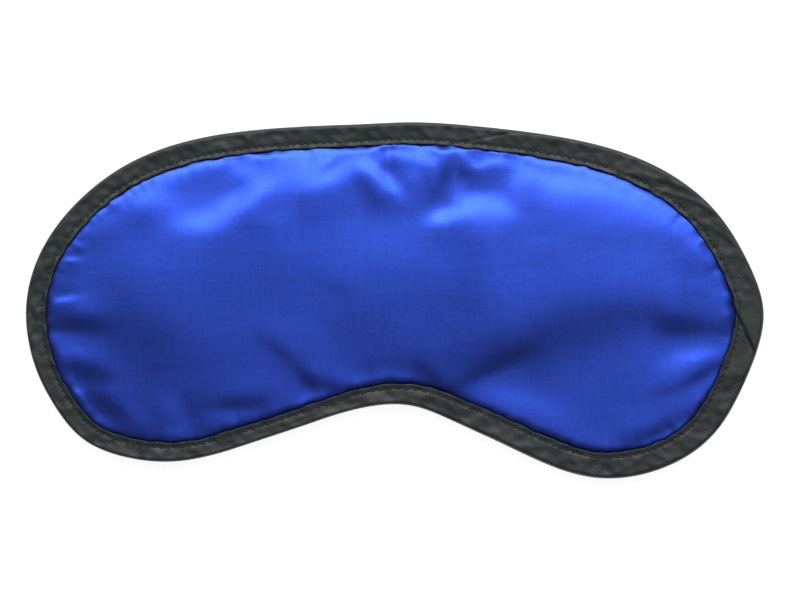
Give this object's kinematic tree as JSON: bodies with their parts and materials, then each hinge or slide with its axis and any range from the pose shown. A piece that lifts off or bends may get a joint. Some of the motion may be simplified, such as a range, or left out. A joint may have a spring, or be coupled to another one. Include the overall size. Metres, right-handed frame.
{
  "type": "padded eye mask",
  "caption": "Padded eye mask with a satin face, dark bound edge, curved brow, arch for the nose, and an elastic headband across the back.",
  "frame": {"origin": "middle of the footprint, on the surface that the mask lies on", "axes": "+X along the mask, from the lobe that hangs less to the lobe that hangs lower; +Y to the brow edge; +Z out of the satin face"},
  "size_m": [0.1992, 0.096, 0.0076],
  "materials": {
    "satin": "royal blue satin-faced woven polyester",
    "foam": "off-white open-cell polyurethane foam",
    "lining": "near-black plain-weave polyester",
    "binding_tape": "charcoal plain-weave bias tape",
    "thread": "dark spun polyester sewing thread",
    "elastic": "black ribbed woven elastic"
  },
  "bodies": {
    "mask_panel": {"front_cover": "satin", "foam_pad": "foam", "back_lining": "lining", "edge_binding": "binding_tape", "top_stitching": "thread", "bobbin_stitching": "thread", "headband_left_end": "elastic", "headband_right_end": "elastic", "left_bartack": "thread", "right_bartack": "thread"},
    "headband": {"headband_elastic": "elastic"}
  },
  "joints": [
    {"name": "headband_pull", "type": "slide", "parent": "mask_panel", "child": "headband", "axis": [0, 0, -1], "range_m": [0, 0.15], "stiffness_N_per_m": 20, "springref_m": -0.002}
  ]
}
